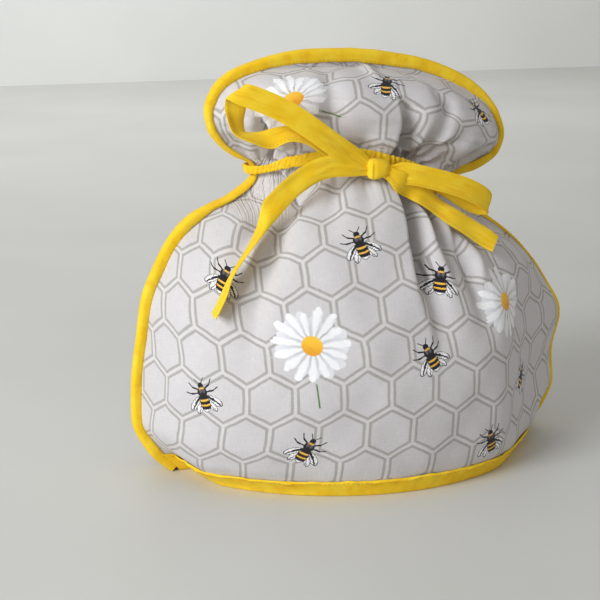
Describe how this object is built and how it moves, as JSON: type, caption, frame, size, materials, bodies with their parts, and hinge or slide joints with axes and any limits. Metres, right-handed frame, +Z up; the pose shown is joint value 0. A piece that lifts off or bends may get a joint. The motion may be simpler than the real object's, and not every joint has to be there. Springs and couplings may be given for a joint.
{
  "type": "tea cosy",
  "caption": "Quilted cotton tea cosy of two bound panels, gathered at the neck by a ruched band with a tied bow, with a frill above it and an open hem.",
  "frame": {"origin": "on the surface it stands on, under the middle of its box", "axes": "+Z up, -Y towards the panel with the bow, +X to the right seen from the front"},
  "size_m": [0.2852, 0.1895, 0.2512],
  "materials": {
    "quilted_cotton": "matte printed cotton",
    "yellow_cotton": "matte dyed cotton tape"
  },
  "bodies": {
    "root": {"front_panel": "quilted_cotton", "back_panel": "quilted_cotton", "edge_binding": "yellow_cotton", "hem_binding_front": "yellow_cotton", "hem_binding_back": "yellow_cotton", "neck_band": "yellow_cotton", "tie": "yellow_cotton"}
  },
  "joints": []
}
